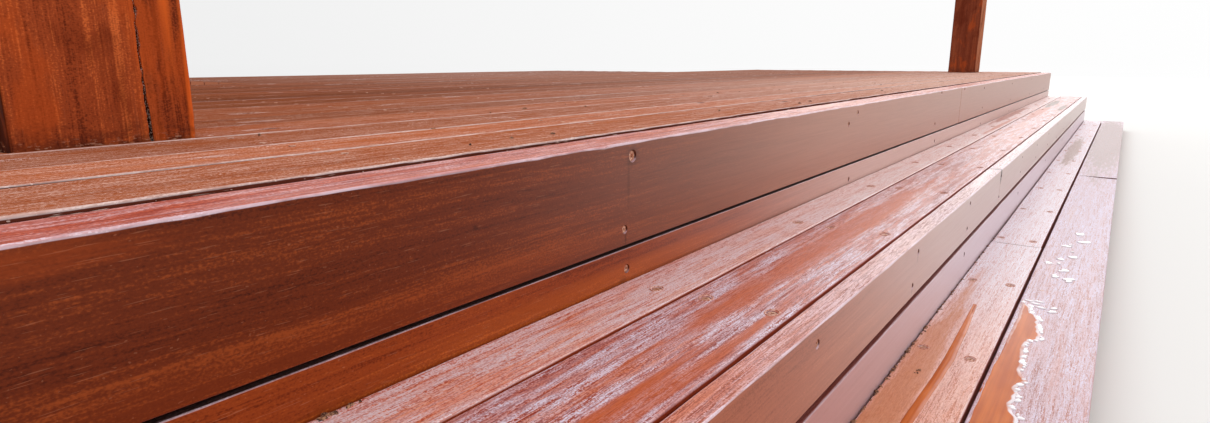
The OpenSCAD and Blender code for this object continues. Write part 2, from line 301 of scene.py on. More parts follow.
# Wet patches: centre and half-size along and across, in metres, from the beam's face, and a colour
# where it is not the usual one; the olive colour is a painted reflection of plants in the water
# Painted reflection of green plants in water on the upper tread
PAINTED_PLANT_REFLECTION = rgb(96, 72, 30)
WET_PATCHES = {
    "upper_tread_front_board": [
        ((-2.17, -0.15), (0.62, 0.024)), ((-2.75, -0.208), (0.2, 0.008)),
        ((1.3, -0.125), (0.6, 0.022)), ((2.25, -0.12), (0.45, 0.024), PAINTED_PLANT_REFLECTION),
        ((1.8, -0.203), (0.32, 0.016), PAINTED_PLANT_REFLECTION), ((-2.95, -0.19), (0.22, 0.012)),
    ],
    "upper_tread_rear_board": [
        ((1.0, -0.024), (0.75, 0.018), rgb(176, 84, 50)), ((0.3, -0.07), (0.5, 0.01)),
    ],
    "bottom_tread_rear_board": [
        ((-2.55, -0.29), (0.82, 0.025), rgb(216, 138, 94)),
        ((1.15, -0.316), (0.7, 0.028), rgb(132, 76, 38)),
    ],
    "bottom_tread_outer_board": [((1.9, -0.45), (1.7, 0.09), rgb(152, 122, 114))],
}

# Drips, stains and patches of painted glow on upright faces: place along the steps and height,
# half-sizes, strength, and a colour where it is not that of a stain
STAIN = rgb(44, 16, 10)
# Painted glow: lighter orange that stands for light on the beam's face
PAINTED_GLOW = rgb(178, 76, 28)
STAINS_AND_GLOWS = {
    "deck_edge_beam": [
        ((-2.584, 0.38), (0.0026, 0.03), 0.25), ((-2.59, 0.3095), (0.0018, 0.01), 0.5),
        ((-2.575, 0.414), (0.012, 0.013), 0.35), ((-2.852, 0.373), (0.003, 0.002), 0.5),
        ((-3.22, 0.42), (0.075, 0.009), 0.35, PAINTED_GLOW), ((-2.94, 0.308), (0.26, 0.022), 0.14, PAINTED_GLOW),
    ],
    "deck_kick_board": [
        ((-2.582, 0.276), (0.002, 0.014), 0.2), ((-2.596, 0.252), (0.007, 0.006), 0.35),
        # A painted glow of light along the kick board
        ((-2.6, 0.262), (0.3, 0.012), 0.3, rgb(204, 104, 36)),
    ],
    "upper_riser_board": [
        ((-2.13, 0.221), (0.0015, 0.008), 0.5), ((-2.15, 0.168), (0.0014, 0.006), 0.5),
        ((-1.208, 0.234), (0.012, 0.018), 0.8),
    ],
}

# How far apart in the noise two timbers lie, and the two lengths of one
SEED_SHIFT = (3.7, 1.3, 2.1)
JOINT_SHIFT = (5.0, 2.3, 1.1)

# Layers of the grain: length and width of a spot in metres, and the noise's detail, roughness and warp
WAVES = (0.22, 0.05, 2.0)
WAVE_HEIGHT = 0.008
BANDS = (0.9, 0.035, 3.0, 0.55, 0.4)
STREAKS = (0.22, 0.0036, 3.0, 0.6)
RIDGES = (0.12, 0.0024, 2.0, 0.6)
RAGGED = (0.12, 0.012, 3.0, 0.6)
DRYING = (0.5, 0.03, 4.0, 0.6, 0.3)
FROSTING = (0.16, 0.016, 3.0, 0.65)
TUFTS = (0.045, 0.0026, 3.0, 0.6)
SCRATCHES = (0.028, 0.0009, 1.0)
RUBBING = (0.06, 0.02, 3.0, 0.7)
KNOT_CELLS = (0.32, 0.075)

# Layers that don't follow the grain: spots in a metre, then the same as above
SPECKLE = ((420, 620, 620), 1.0)
SPECKS = ((330, 520, 520), 0.0)
MOTTLE = ((13, 13, 6), 4.0, 0.65, 0.3)
DIRT = ((20, 20, 34), 4.0, 0.7)
CHIPS = ((110, 110, 300), 3.0, 0.7)


def patch(s, x, y, centre, radii, soft, ragged):
    """1 inside an ellipse, 0 outside, with a ragged edge."""
    u, v = [s.math("DIVIDE", s.math("SUBTRACT", at, middle), radius)
            for at, middle, radius in zip((x, y), centre, radii)]
    away = s.math("SQRT", s.plus(s.times(u, u), s.times(v, v)))
    return s.step(s.plus(away, ragged), 1.0 + soft, 1.0 - soft)


# Looks by the start of a node's name, with the axis of its grain
LOOKS = {
    "deck_edge": (BEAM, "X"), "deck_kick": (KICK, "X"), "upper_riser": (RISER, "X"),
    "lower_kick": (LOWER_KICK, "X"), "upper_tread_front": (TREAD, "X"),
    "upper_tread_rear": (TREAD_REAR, "X"), "bottom_tread_outer": (BOTTOM, "X"),
    "bottom_tread_rear": (BOTTOM_REAR, "X"), "post_left": (POST, "Z"), "post_right": (FAR_POST, "Z"),
    ("end_fascia", "end_stringer"): (BEAM, "Y"),
    ("joists", "step_sleepers", "step_bearers"): (FRAMING, "Y"),
    ("stumps", "step_legs", "beam_packers"): (FRAMING, "Z"),
    ("front_bearer", "middle_bearer", "entry_bearer", "wall_ledger", "side_ledger"): (FRAMING, "X"),
}


def look_of(name):
    """The look of a node and the axis of its grain."""
    if name.startswith("deck_board") or name == "entry_boards":
        return deck_look(int(name[-2:]) if name[-1].isdigit() else DECK_ROWS), "X"
    return next(look for start, look in LOOKS.items() if name.startswith(start))


def post_marks(s, look, shifted, bands, speckle, tint):
    """Marks of a post: sides with painted shade and light, an orange edge, mottled wood, dirt and chips at
    its foot, and its crack with painted shade in it.
    """
    x, _, z = s.split(s.place())
    across, along, _ = s.split(s.normal())
    foot = s.math("SUBTRACT", z, DECK_Z)
    front = s.step(along, -0.3, -0.8)

    # Painted shade darkens the near post's left side, and it is orange along its right edge; painted light
    # makes the far one pale in front
    if look is POST:
        tint(rgb(50, 19, 10), s.step(across, -0.3, -0.8), s.step(foot, 0.8, 0.1), 0.85)
        right = s.step(x, POST_FAR_SIDE - 0.075, POST_FAR_SIDE - 0.02)
        tint(rgb(232, 108, 42), s.times(right, front), s.step(bands, 0.34, 0.5), 0.85)
    else:
        tint(rgb(196, 128, 94), front, 0.65)

    # Mottled wood, dirt and chips at the foot, and the crack, darkened with painted shade, with pale fibres
    # in it
    mottle = s.noise(shifted, *MOTTLE)
    tint(rgb(92, 32, 18), s.step(mottle, 0.52, 0.66), 0.5)
    tint(rgb(204, 88, 34), s.step(mottle, 0.46, 0.34), 0.4)
    cloud = s.noise(shifted, *DIRT)
    dirty = s.step(s.plus(foot, s.times(s.centred(cloud), 0.17)), 0.045, -0.01)
    tint(rgb(54, 26, 26), dirty, s.step(cloud, 0.4, 0.56), 0.75)
    chips = s.noise(shifted, *CHIPS)
    tint(rgb(200, 150, 122), s.step(foot, 0.012, 0.0), s.step(chips, 0.56, 0.64), 0.6)
    crack = s.attribute("crack")
    tint(rgb(38, 18, 12), s.step(crack, 0.15, 0.6))
    tint(rgb(224, 204, 192), s.step(crack, 0.02, 0.2), s.step(speckle, 0.05, 0.1))


def gloss(s, coat, top):
    """Strength of the oil's gloss, which shows from aside and at a glance."""
    facing = s.add("LayerWeight", {"Blend": 0.5}, "Facing")
    aside, glancing, above = coat
    glance = s.times(s.blend(s.step(facing, 0.6, 0.94), aside, glancing), s.blend(top, 1.0, above))
    return s.times(s.step(facing, 0.15, 0.45), glance)


def timber(name, seed):
    """Oiled hardwood: bands and streaks along the grain, fine fibres, weathered tops, worn arrises, painted
    sheen and glints.
    """
    look, axis = look_of(name)
    joint = JOINTS.get(name)
    material, s = new_material(name)
    place = s.place()
    x, y, z = s.split(place)
    shifted = s.moved(place, tuple(seed * part for part in SEED_SHIFT))
    if joint is not None:
        past = s.math("GREATER_THAN", x, joint)
        shifts = {number: s.times(past, part) for number, part in enumerate(JOINT_SHIFT)}
        shifted = s.moved(shifted, s.vector(shifts))

    def counts(length, width):
        """Spots in a metre, from their length along the grain and their width across it."""
        return [1 / (length if letter == axis else width) for letter in "XYZ"]

    def grain(length, width, *noise):
        return s.noise(shifted, counts(length, width), *noise)

    def tint(shade, *amounts):
        """Turns the wood towards a shade."""
        nonlocal colour
        colour = s.mix(s.times(*amounts), colour, shade)

    # The grain runs in slight waves
    waves = s.times(s.centred(grain(*WAVES)), WAVE_HEIGHT)
    shifted = s.moved(shifted, s.vector({number: waves for number in range(3) if "XYZ"[number] != axis}))

    # Shades of the wood
    bands, streaks, ridges = grain(*BANDS), grain(*STREAKS), grain(*RIDGES)
    fibres = grain(*look["fibre"], 2.0, 0.6)
    speckle = s.centred(s.noise(shifted, *SPECKLE))
    shares = ((streaks, 0.35), (fibres, 0.2), (bands, 0.45), (speckle, 0.3))
    mixed = s.plus(*(s.times(layer, share) for layer, share in shares))
    tone = s.plus(s.times(s.centred(mixed), look["vary"]), 0.5)
    if joint is not None and name.startswith("deck_board"):
        tone = s.plus(tone, s.times(past, 0.05 if seed % 2 else -0.05))
    across, along, upward = s.split(s.normal())
    top = s.step(upward, 0.35, 0.8)
    dark, mid, light = [s.mix(top, face, upper) for face, upper in zip(look["face"], look["top"])]
    colour = s.mix(s.step(tone, 0.5, 0.36), mid, dark)
    tint(light, s.step(tone, 0.5, 0.64))
    # Painted light and sheen: faces and tops turn to other shades along the steps, mostly paler towards the
    # far end
    if look["painted_light_drift"]:
        upright, flat, share, start, stop = look["painted_light_drift"]
        tint(s.mix(top, upright, flat), s.step(x, start, stop), share, s.blend(streaks, 0.8, 1.2))

    # Where water lies, and where the top has dried and weathered, paled partly by painted glints and sheen
    deep = look["top"][0]
    ragged = s.times(s.centred(grain(*RAGGED)), 1.2)
    dry = s.step(grain(*DRYING), look["wetness"], look["wetness"] + 0.22)
    wetted = 0.0
    for (middle, depth), radii, *shade in WET_PATCHES.get(name, ()):
        spot = patch(s, x, y, (middle, depth + FACE_Y), radii, 0.3, ragged)
        wetted = s.most(wetted, spot)
        dry = s.times(dry, s.math("SUBTRACT", 1.0, s.times(spot, 0.8)))
        tint(shade[0] if shade else look["wet"], spot, top, s.blend(streaks, 0.5, 1.3))
    tint(deep, s.step(fibres, 0.52, 0.4), top, look["contrast"], 0.4)
    dry = s.times(dry, top, look["dry"])
    ridge = s.plus(s.times(fibres, 0.6), s.times(ridges, 0.4), s.times(speckle, 0.45))
    tint(deep, s.step(ridge, 0.5, 0.44), dry, look["contrast"])
    frost = s.step(grain(*FROSTING), 0.4, 0.57)
    fibres_and_glints = s.step(ridge, 0.505 + look["sparse"], 0.555 + look["sparse"])
    fibres_and_glints = s.times(fibres_and_glints, s.blend(frost, 1 - look["frost"], 1.0))
    tufts = s.plus(s.times(grain(*TUFTS), 0.6), s.times(streaks, 0.4))
    hazy = s.blend(frost, look["haze_and_sheen"], look["haze_and_sheen"] + look["frost"] * 0.5)
    haze_and_sheen = s.times(s.step(tufts, 0.4, 0.57), hazy, s.blend(s.step(speckle, -0.08, 0.08), 0.7, 1.25))
    # Pale fibres and haze: partly dried raised wood, partly a painted glint and sheen of light
    pale = s.mix(s.step(x, -2.5, -1.5), look["pale_near"], look["pale"])
    tint(pale, s.most(fibres_and_glints, haze_and_sheen), dry, look["cover"])

    # Thin pale scratches, and specks
    scratch = s.step(grain(*SCRATCHES), 0.68, 0.74)
    speck = s.times(s.step(s.noise(shifted, *SPECKS), 0.8, 0.84), 1.6)
    tint(look["fleck"], s.most(scratch, s.times(speck, s.blend(top, 0.5, 1.0))), look["flecks"])

    # Small knots with a dark heart and a pale rim
    if look["knots"]:
        cells = {"Vector": s.scaled(shifted, *counts(*KNOT_CELLS)), "Scale": 1.0}
        away = s.plus(s.add("TexVoronoi", cells, "Distance"), s.times(ragged, 0.05))
        tint(look["pale"], s.step(away, 0.15, 0.11), top, fibres_and_glints, look["knots"])
        tint(look["face"][0], s.step(away, 0.06, 0.045), top, look["knots"])

    # Drips and stains, and patches of painted glow
    for centre, radii, strength, *shade in STAINS_AND_GLOWS.get(name, ()):
        spot = patch(s, x, z, centre, radii, 0.6, s.times(s.centred(fibres), 1.5))
        tint(shade[0] if shade else STAIN, spot, strength)

    # Arrises paled by wear and a painted highlight, where the surface turns from one side to the next, and
    # end grain
    squares = [s.times(part, part) for part in (across, along, upward)]
    pairs = [s.times(squares[a], squares[b]) for a, b in ((0, 1), (1, 2), (0, 2))]
    wear = s.blend(s.step(grain(*RUBBING), 0.34, 0.6), 0.5, 1.0)
    tint(look["pale"], s.step(s.plus(*pairs), 0.02, 0.09), s.step(upward, 0.0, 0.35), wear,
         s.blend(fibres_and_glints, 0.75, 1.0), look["arris"])
    ends = s.math("ABSOLUTE", {"X": across, "Y": along, "Z": upward}[axis])
    tint(look["ends"], s.step(ends, 0.75, 0.95), 0.8)

    if name.startswith("post"):
        post_marks(s, look, shifted, bands, speckle, tint)

    height = s.plus(s.times(ridge, s.blend(dry, 0.25, 1.0)), s.times(streaks, 0.3))
    inputs = {
        "Base Color": colour, "Roughness": s.blend(dry, look["wet_rough"], look["dry_rough"]),
        "Normal": s.bump(height, look["bump"] * 0.6, 0.0012), "Specular IOR Level": look["shine"],
        "Sheen Weight": look["sheen"], "Sheen Roughness": 0.35,
    }
    if max(look["coat"]):
        inputs["Coat Weight"] = s.times(gloss(s, look["coat"], top), s.blend(wetted, 1.0, 0.3))
        inputs["Coat Roughness"] = 0.3
    s.surface(s.principled(inputs))
    return material


def stand_in(thing, name):
    """Puts a rebuilt timber in the place of its CAD node, under the same slot."""
    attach(thing, "root")
    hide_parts(name)


def held(values):
    """The same values, none under 0 or over 1."""
    return np.clip(values, 0, 1)


def ripple(places, step, seed):
    """Smooth seeded noise from -1 to 1 along a line, one swing about every step."""
    values = np.random.default_rng(seed).uniform(-1, 1, int(np.ptp(places) / step) + 3)
    along = (places - places.min()) / step
    index = along.astype(int)
    share = along - index
    share = share * share * (3 - 2 * share)
    return values[index] * (1 - share) + values[index + 1] * share


# Parts that a rounded corner is cut into, width kept flat beside it, and how far end grain is eased
ARC = 4
HOLD = 0.002
END_EASE = 0.0012


def section(low, high, radii, splits):
    """Points round a rectangle with rounded corners: one row of points for each place along the timber.

    radii are four arrays, for the corners in turn from the low one. splits says into how many parts
    each flat side is cut, or at which shares of it.
    """
    (a0, b0), (a1, b1) = low, high
    corners = ((a0, b0, 180), (a1, b0, 270), (a1, b1, 0), (a0, b1, 90))
    arcs = []
    for (a, b, start), radius in zip(corners, radii):
        middle = np.stack([a + radius * (1 if a == a0 else -1), b + radius * (1 if b == b0 else -1)])
        turns = np.radians(start + 90 * np.arange(ARC + 1) / ARC)
        arcs.append(middle[:, :, None] + radius[:, None] * np.stack([np.cos(turns), np.sin(turns)])[:, None])
    columns = []
    for arc, after, length, cuts in zip(arcs, arcs[1:] + arcs[:1], (a1 - a0, b1 - b0) * 2, splits):
        inner = np.arange(1, cuts) / cuts if isinstance(cuts, int) else cuts
        shares = np.unique(np.concatenate([[HOLD / length, 1 - HOLD / length], inner]))
        columns += [arc, arc[:, :, -1:] * (1 - shares) + after[:, :, :1] * shares]
    return np.concatenate(columns, axis=2)


def link(name, data):
    """A new object in the scene."""
    thing = bpy.data.objects.new(name, data)
    bpy.context.scene.collection.objects.link(thing)
    return thing


def new_object(name, points, faces):
    mesh = bpy.data.meshes.new(name)
    mesh.from_pydata(points, [], faces)
    return link(name, mesh)


def mark(thing, name, values):
    """Stores a number at every point of a mesh, for its material to read."""
    thing.data.attributes.new(name, "FLOAT", "POINT").data.foreach_set("value", values)


def loft(name, runs, axis="X"):
    """One mesh from runs of sections, each a list of places along the axis and its rows of points."""
    points, faces, caps = [], [], []
    count = 0
    for places, a, b in runs:
        rings, sides = a.shape
        along = np.repeat(places[:, None], sides, axis=1)
        points.append(np.stack((along, a, b) if axis == "X" else (a, b, along), axis=2).reshape(-1, 3))
        first = count + np.arange(rings - 1)[:, None] * sides
        here = np.arange(sides)[None, :]
        after = (here + 1) % sides
        quads = np.stack([first + here, first + after, first + after + sides, first + here + sides], axis=2)
        faces += quads.reshape(-1, 4).tolist()
        last = count + (rings - 1) * sides
        caps += [list(reversed(range(count, count + sides))), list(range(last, last + sides))]
        count += rings * sides
    thing = new_object(name, np.concatenate(points).tolist(), faces + caps)
    thing.data.polygons.foreach_set("use_smooth", [True] * len(faces) + [False] * len(caps))
    thing.data.update()
    return thing


def lengths(name, low, high):
    """The two ends of each length of a timber along X."""
    joint = JOINTS.get(name)
    if joint is None:
        return [(low.x, high.x)]
    return [(low.x, joint - BUTT_GAP / 2), (joint + BUTT_GAP / 2, high.x)]


def places_along(start, end, step):
    """Places from start to end, closer at both ends for the eased end grain."""
    inner = np.linspace(start + 2 * END_EASE, end - 2 * END_EASE, max(int((end - start) / step), 4))
    return np.concatenate([[start, start + END_EASE], inner, [end - END_EASE, end]])


# How far apart the sections of a board stand: close to the camera, further off and at the back
FINE = 0.012
MEDIUM = 0.024
COARSE = 0.08

# Wear of a board, in metres: radius of its lower arrises, height of its ridges, how far a side wanders,
# length of a twist, and half-lengths and depths of the dents and how far they reach
LOWER_RADIUS = 0.0015
RIDGE_HEIGHT = 0.00025
SIDE_WANDER = 0.0004
TWIST_LENGTH = 0.5
DENT_HALVES = (0.005, 0.02)
DENT_DEPTHS = (0.0002, 0.0009)
DENT_REACH = 0.006


def worn_run(start, end, low, high, key, radius, cuts, sunk, cup=0.0006, lift=0.0003, nicks=30, step=FINE):
    """Sections of one worn length, from start to end along X, that stay inside the box from low to high."""
    places = places_along(start, end, step)

    def swing(length, number):
        """Noise along this length, one row for each place."""
        return ripple(places, length, key + number)[:, None]

    radii = [np.full(len(places), LOWER_RADIUS)] * 2
    for corner in range(2):
        change = 0.3 * swing(0.1, corner) + 0.15 * swing(0.025, 5 + corner)
        radii.append(radius * (1.0 + change[:, 0]))
    y, z = section((low.y, low.z), (high.y, high.z), radii, (1, 1, *cuts))
    share_y = (y - low.y) / (high.y - low.y)
    upper = held((z - low.z) / (high.z - low.z) * 4 - 3)

    # Boards that dried unevenly: hollow in the middle, and not quite level with each other
    ridges = RIDGE_HEIGHT * (1 + np.hstack([swing(0.09, 40 + i) for i in range(y.shape[1])]))
    hollow = cup * (1 - (2 * share_y - 1) ** 2) + ridges * np.minimum(1, 8 * share_y * (1 - share_y))
    front_drop, back_drop = [lift * (1 + swing(0.8, number)) / 2 for number in (15, 16)]
    twist = sunk * held(1 - (end - places) / TWIST_LENGTH)[:, None] ** 2 * (1 - share_y)
    z = z - upper * (hollow + front_drop * (1 - share_y) + back_drop * share_y + twist)

    # Sides that are not quite straight
    front, back = [SIDE_WANDER * (1 + swing(length, number)) for length, number in ((0.9, 11), (0.7, 12))]
    y = y + front * (1 - share_y) - back * share_y

    # Small dents along the front arris
    rng = np.random.default_rng(key + 21)
    from_arris = np.hypot(y - low.y, z - high.z)
    spans = ((start, end), DENT_HALVES, DENT_DEPTHS)
    for centre, half, depth in zip(*[rng.uniform(*span, nicks) for span in spans]):
        dent = depth * np.exp(-((places[:, None] - centre) / half) ** 2 - (from_arris / DENT_REACH) ** 2)
        y = y + dent * 0.6
        z = z - dent

    # Eased ends
    ease = np.zeros((len(places), 1))
    ease[[0, -1]] = END_EASE
    return places, np.clip(y, low.y + ease, high.y - ease), np.clip(z, low.z + ease, high.z - ease)


def worn_board(name, radius, cuts, seed, rows=None, slimmer=(0, 0), sunk=(0, 0), **wear):
    """A board, or several side by side, with worn and slightly uneven surfaces in place of its CAD node.

    cuts are the parts that its top and its front are made in, slimmer is how much each side of the first
    and the second length has shrunk, and sunk how far its front corner has dropped at its far end.
    """
    runs = []
    for row, (low, high) in enumerate(rows or [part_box(name)]):
        for number, (start, end) in enumerate(lengths(name, low, high)):
            key = seed * 100 + number * 37 + row * 1000
            slim = Vector((0, slimmer[number], 0))
            box = (low + slim, high - slim)
            runs.append(worn_run(start, end, *box, key, radius, cuts, sunk[number], **wear))
    thing = loft("worn_" + name, runs)
    stand_in(thing, name)
    return thing


def cut_away(thing, points, faces):
    """Takes the space inside a closed mesh away from a piece."""
    cutter = new_object("cutter", points, faces)
    cut = thing.modifiers.new("cut", "BOOLEAN")
    cut.operation = "DIFFERENCE"
    cut.solver = "EXACT"
    cut.object = cutter
    bpy.context.view_layer.update()
    whole = thing.data
    thing.data = bpy.data.meshes.new_from_object(thing.evaluated_get(bpy.context.evaluated_depsgraph_get()))
    thing.data.name = whole.name
    thing.modifiers.clear()
    cutter_mesh = cutter.data
    bpy.data.objects.remove(cutter)
    bpy.data.meshes.remove(cutter_mesh)
    bpy.data.meshes.remove(whole)
    thing.data.set_sharp_from_angle(angle=math.radians(40))


# Gap between a post and the boards cut round it, and the rows of those boards
POST_CLEAR = 0.003
NOTCHED_ROWS = (4, 5)


def notch(thing, post):
    """Cuts the space round a post out of a board."""
    low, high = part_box(post)
    gap = Vector((POST_CLEAR, POST_CLEAR, 0))
    ends = (low - gap, high + gap)
    cube = [(a.x, b.y, c.z) for a in ends for b in ends for c in ends]
    sides = [(0, 1, 3, 2), (4, 6, 7, 5), (0, 4, 5, 1), (2, 3, 7, 6), (0, 2, 6, 4), (1, 5, 7, 3)]
    cut_away(thing, cube, sides)


def entry_rows():
    """The box of each board in the entry."""
    low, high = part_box("entry_boards")
    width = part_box("deck_board_18")[1].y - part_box("deck_board_18")[0].y
    pitch = (high.y - low.y - width) / (ENTRY_ROWS - 1)
    starts = [low.y + i * pitch for i in range(ENTRY_ROWS)]
    return [(Vector((low.x, y, low.z)), Vector((high.x, y + width, high.z))) for y in starts]


def worn_timbers():
    """The timbers that can be seen, rebuilt with worn arrises and tops."""
    made = {}

    def add(name, *settings, **more):
        made[name] = worn_board(name, *settings, **more)

    add("deck_edge_beam", 0.0034, (12, 6), 1, nicks=18)
    add("deck_kick_board", 0.0014, (4, 4), 2, nicks=20, step=MEDIUM)
    add("upper_tread_rear_board", 0.0026, (16, 1), 3)
    add("upper_tread_front_board", 0.0026, (24, 1), 4)
    add("upper_riser_board", 0.0026, (6, 5), 5, cup=0.0003, nicks=50)
    add("lower_kick_board", 0.0022, (4, 4), 6, nicks=20, step=MEDIUM)
    add("bottom_tread_rear_board", 0.0026, (20, 1), 7, slimmer=(0, 0.0016))
    add("bottom_tread_outer_board", 0.0028, (24, 1), 8, nicks=40, sunk=(0.0045, 0))
    uneven = {"cup": 0.0012, "lift": 0.0016}
    for row in range(1, DECK_ROWS + 1):
        name = f"deck_board_{row:02d}"
        top_cuts, nicks, step = (8, 0, COARSE) if row > 3 else (16, 30, MEDIUM if row == 3 else FINE)
        add(name, 0.0025, (top_cuts, 1), 10 + row, nicks=nicks, step=step, **uneven)
        if row in NOTCHED_ROWS:
            for post in ("post_left", "post_right"):
                notch(made[name], post)
    add("entry_boards", 0.0026, (8, 1), 40, nicks=0, step=COARSE, rows=entry_rows(), **uneven)
    made["post_left"] = worn_post("post_left", 300, -2.948, 2.4)
    made["post_right"] = worn_post("post_right", 500, 3.02, 1.1)
    return made


# The crack in a post: length of its bends, half its width, its depth, and the points across it
CRACK_STEP = 0.05
CRACK_HALF = 0.0013
CRACK_DEPTH = 0.009
CRACK_POINTS = np.arange(-14, 15) * 0.0008

# A post, in metres: radius of its arrises, unevenness of its faces, height above the deck up to which it
# is made finely and the step there, and height, reach and depth of the chips at its foot
POST_RADIUS = 0.004
POST_HOLLOW = 0.0005
FINE_HEIGHT = 0.6
FINE_STEP = 0.0025
CHIP_HEIGHT = 0.028
CHIP_REACH = 0.016
CHIP_DEPTH = 0.0022


def worn_post(name, seed, crack_x, crack_height):
    """A post with worn arrises, a chipped foot and a jagged crack in its front face."""
    low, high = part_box(name)
    width = high.x - low.x

    # A few sections below the deck, close ones above it, and few again up to the top
    fine_top = DECK_Z + FINE_HEIGHT
    below = np.linspace(low.z, DECK_Z - 0.02, 8)
    fine = np.arange(DECK_Z - 0.012, fine_top, FINE_STEP)
    above = np.linspace(fine_top + 0.03, high.z, 50)
    places = np.concatenate([below, fine, above])

    def swing(length, number):
        """Noise up the post."""
        return ripple(places, length, seed + number)

    radii = [POST_RADIUS * (1 + 0.25 * swing(0.15, i) + 0.15 * swing(0.03, 9 + i)) for i in range(4)]
    front = np.concatenate([np.arange(1, 16) / 16, (CRACK_POINTS + crack_x - low.x) / width])
    x, y = section((low.x, low.y), (high.x, high.y), radii, (front, 8, 8, 8))

    # The crack wanders from one height to the next, and closes here and there
    line = crack_x + 0.002 * swing(CRACK_STEP, 30) + 0.001 * swing(0.006, 31)
    half = CRACK_HALF * np.clip(0.9 + 0.7 * swing(0.006, 32), 0.35, 1.6)
    half = half * held((crack_height - places) / 0.05) * (places > DECK_Z - 0.01)
    inside = held(1 - np.abs(x - line[:, None]) / np.maximum(half, 1e-5)[:, None]) * (y < low.y + 0.001)

    # Uneven faces, and chips along the foot
    hollow = POST_HOLLOW * (1 + np.stack([swing(0.2, 50 + i) for i in range(x.shape[1])], axis=1))
    middle_x, middle_y = (low.x + high.x) / 2, (low.y + high.y) / 2
    reach = np.maximum(np.abs(x - middle_x), np.abs(y - middle_y)) * 2 / width
    foot = held(1 - (places - DECK_Z) / CHIP_HEIGHT) * (places > DECK_Z - 0.015)
    corner = np.exp(-(np.hypot(x - high.x, y - low.y) / CHIP_REACH) ** 2)
    chip = CHIP_DEPTH * corner * (foot * (0.6 + 0.4 * swing(0.006, 70)))[:, None]
    inward = hollow * (reach > 0.97) + chip
    x = x - np.sign(x - middle_x) * inward
    y = y - np.sign(y - middle_y) * inward + CRACK_DEPTH * inside
    thing = loft("worn_" + name, [(places, x, y)], "Z")
    mark(thing, "crack", inside.ravel())
    stand_in(thing, name)
    return thing


# Screws: radius of the head and of its hole, how deep the head sits, and the socket's radius
Screw = namedtuple("Screw", "head hole sunk socket")
COACH = Screw(0.0068, 0.0084, 0.0022, 0.0031)
SMALL = Screw(0.0048, 0.0062, 0.0018, 0.002)
FLUSH = Screw(0.0042, 0.0046, 0.0004, 0.0017)
WORN = Screw(0.0052, 0.007, 0.0008, 0.0021)

# Axes of a screw in a top or a front face, and the points round a ring
UP = ((1, 0, 0), (0, 1, 0), (0, 0, 1))
FRONT = ((1, 0, 0), (0, 0, 1), (0, -1, 0))
SIDES = 18
TURNS = [2 * math.pi * i / SIDES for i in range(SIDES)]


def ring(centre, axes, radius, height, corners=None):
    """Points round a circle, or round a shape with that many corners, at a height along the normal."""
    u, v, n = (Vector(axis) for axis in axes)
    points = []
    for turn in TURNS:
        reach = radius
        if corners:
            sector = 2 * math.pi / corners
            reach = radius * math.cos(sector / 2) / math.cos(turn % sector - sector / 2)
        point = Vector(centre) + u * reach * math.cos(turn) + v * reach * math.sin(turn)
        points.append(tuple(point + n * height))
    return points


def band(here, after):
    """Faces between two rings, from the numbers of their first points."""
    return [(here + i, here + (i + 1) % SIDES, after + (i + 1) % SIDES, after + i) for i in range(SIDES)]


def stack(starts):
    """Faces that join rings in turn, closed at both ends."""
    faces = [tuple(starts[0] + i for i in reversed(range(SIDES)))]
    for here, after in zip(starts, starts[1:]):
        faces += band(here, after)
    return faces + [tuple(starts[-1] + i for i in range(SIDES))]


def hoop(starts):
    """Faces that join rings in turn, and the last one with the first."""
    return [face for here, after in zip(starts, starts[1:] + starts[:1]) for face in band(here, after)]


def gather(shapes, join=stack):
    """Points and faces of many shapes, each made of rings."""
    points, faces = [], []
    for rings in shapes:
        faces += join([len(points) + level * SIDES for level in range(len(rings))])
        for circle in rings:
            points += circle
    return points, faces


def small_things(name, shapes, material, join=stack):
    """One piece made of many shapes."""
    thing = new_object(name, *gather(shapes, join))
    thing.data.materials.append(material)
    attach(thing, "root")
    return thing


def screw_head(screw, centre, axes):
    """Rings of a countersunk head, from its underside up and down into its socket with six sides."""
    rows = ((screw.head * 0.55, 0.003), (screw.head, 0.0005), (screw.head * 0.96, 0.0),
            (screw.socket * 1.12, 0.0), (screw.socket, 0.0003, 6), (screw.socket, 0.002, 6))
    return [ring(centre, axes, radius, -screw.sunk - depth, *corners) for radius, depth, *corners in rows]


def drill(screw, centre, axes):
    """Rings of the hole that a screw has pulled its head into."""
    rows = ((0.8, -screw.sunk - 0.0034), (0.92, -screw.sunk), (1.0, 0.0), (1.2, 0.001))
    return [ring(centre, axes, screw.hole * share, height) for share, height in rows]


def jittered(places, seed, reach=0.006):
    """The same places, each off by a little."""
    rng = np.random.default_rng(seed)
    return [(a + rng.uniform(-reach, reach), b + rng.uniform(-reach, reach)) for a, b in places]


# Screws seen in the photo on upright faces, as places along the steps and heights
BEAM_COACH = [(-2.575, 0.414)]
BEAM_SMALL = [
    (-2.592, 0.32), (-1.631, 0.413), (-1.693, 0.391), (-0.708, 0.425), (-0.77, 0.325), (-0.291, 0.424),
]
RISER_SMALL = [(-2.595, 0.228), (-2.13, 0.229), (-2.15, 0.176)]

# Screws in the treads: their kind, and where their rows lie from the beam's face
TREAD_SCREWS = {
    "upper_tread_rear_board": (WORN, (-0.05, )),
    "upper_tread_front_board": (WORN, (-0.115, -0.204)),
    "bottom_tread_rear_board": (WORN, (-0.285, -0.35)),
    "bottom_tread_outer_board": (FLUSH, (-0.415, -0.488)),
}

# How far the screws in the deck sit from a board's edges, and how much treads and deck have worn down
SCREW_FROM_EDGE = 0.026
TREAD_WORN = 0.0004
DECK_WORN = 0.0008


